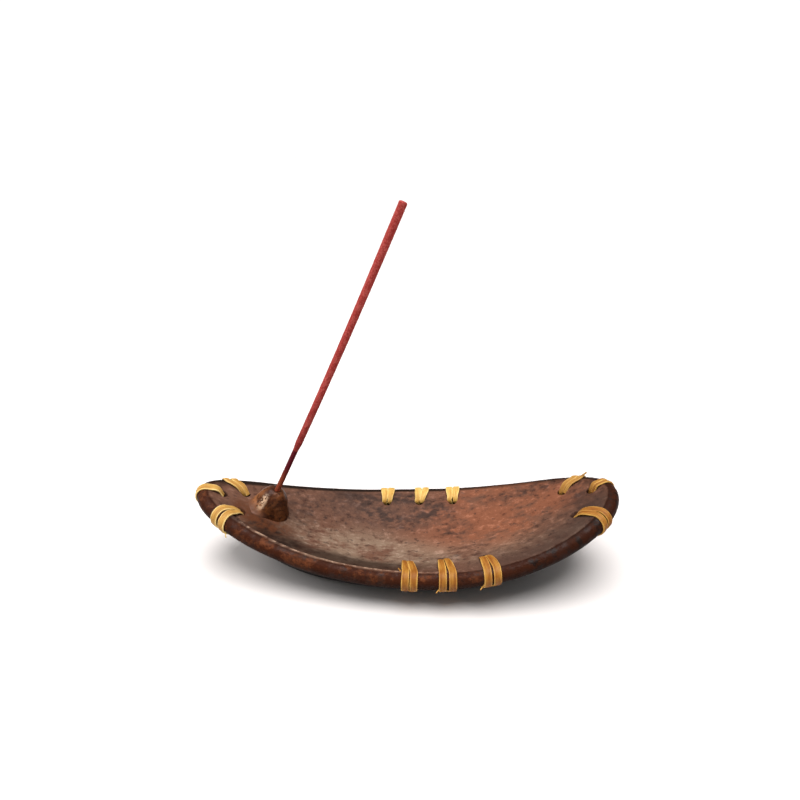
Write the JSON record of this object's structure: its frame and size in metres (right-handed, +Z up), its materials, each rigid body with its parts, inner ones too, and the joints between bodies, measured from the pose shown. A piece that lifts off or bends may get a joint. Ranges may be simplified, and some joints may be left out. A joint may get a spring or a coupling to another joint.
{
  "type": "incense stick burner",
  "caption": "Boat-shaped clay ash dish with upturned ends, rattan strips stitched through its rim and a leaning clay cone that holds a lift-out incense stick.",
  "frame": {"origin": "middle of the dish's flat resting face, on the surface it stands on", "axes": "+X along the dish from the cone's end to the higher end, -Y towards the front with the longer stitches, +Z up"},
  "size_m": [0.2015, 0.077, 0.1719],
  "materials": {
    "clay": "smoke-fired and burnished, mottled, satin",
    "cone_clay": "burnished and waxed, semi-gloss",
    "rattan": "split rattan, natural, satin",
    "bamboo": "dyed bamboo, matt",
    "incense": "pressed incense powder, matt and dusty"
  },
  "bodies": {
    "dish": {"dish": "clay", "stick_cone": "cone_clay", "front_stitch_left": "rattan", "front_stitch_middle": "rattan", "front_stitch_right": "rattan", "back_stitch_left": "rattan", "back_stitch_middle": "rattan", "back_stitch_right": "rattan", "left_end_stitch_front": "rattan", "left_end_stitch_tip": "rattan", "left_end_stitch_back": "rattan", "right_end_stitch_back": "rattan", "right_end_stitch_tip": "rattan", "right_end_stitch_front": "rattan"},
    "stick": {"bamboo_core": "bamboo", "incense_coating": "incense"}
  },
  "joints": [
    {"name": "stick_slide", "type": "slide", "parent": "dish", "child": "stick", "axis": [0.4147, 0, 0.91], "range_m": [0, 0.05]}
  ]
}
